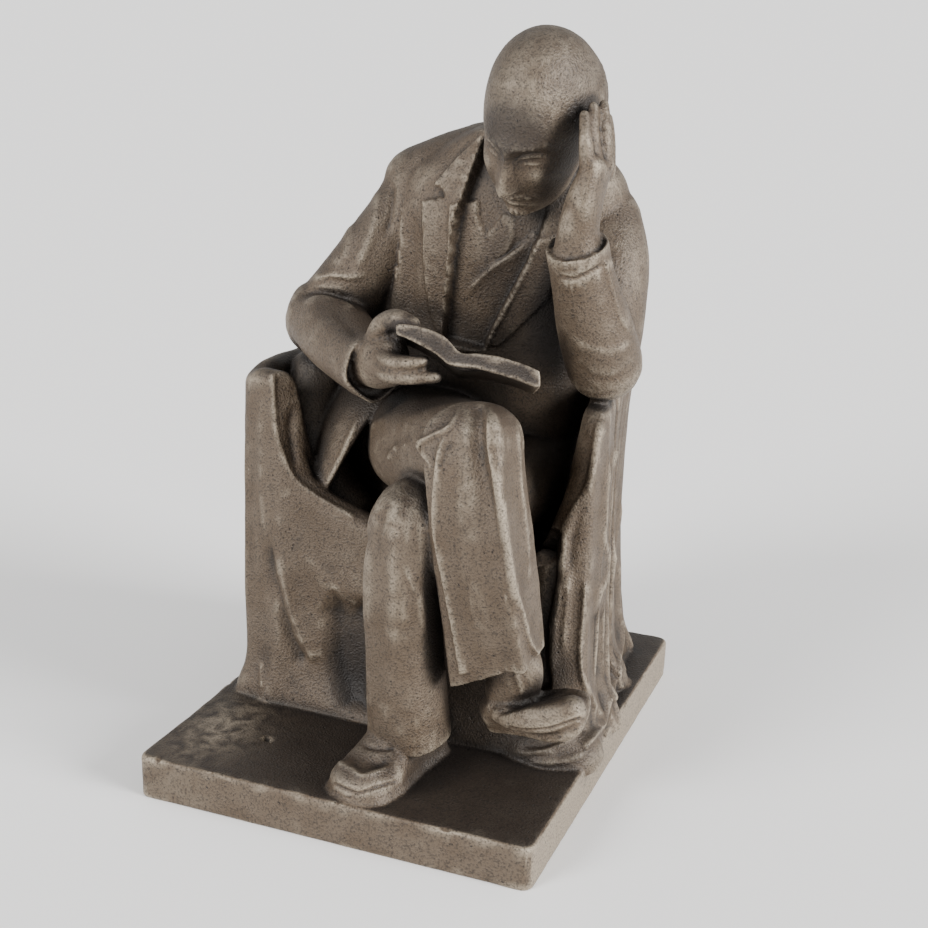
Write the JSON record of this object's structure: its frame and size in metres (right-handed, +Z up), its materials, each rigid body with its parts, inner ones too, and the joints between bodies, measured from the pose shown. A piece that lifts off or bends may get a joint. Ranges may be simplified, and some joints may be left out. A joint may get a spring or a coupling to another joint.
{
  "type": "seated reader statuette",
  "caption": "Cast statuette of a seated man reading a book, head propped on one hand, in a draped armchair on a rectangular slab.",
  "frame": {"origin": "middle of the slab's underside", "axes": "+Z up through the figure, -Y the way the figure faces, +X to the right of a viewer in front"},
  "size_m": [0.1738, 0.205, 0.306],
  "materials": {
    "cast_patina": "cast light alloy under a warm brown-grey patina, semi-matt, fine grain, lighter on worn edges"
  },
  "bodies": {
    "root": {"statuette": "cast_patina"}
  },
  "joints": []
}
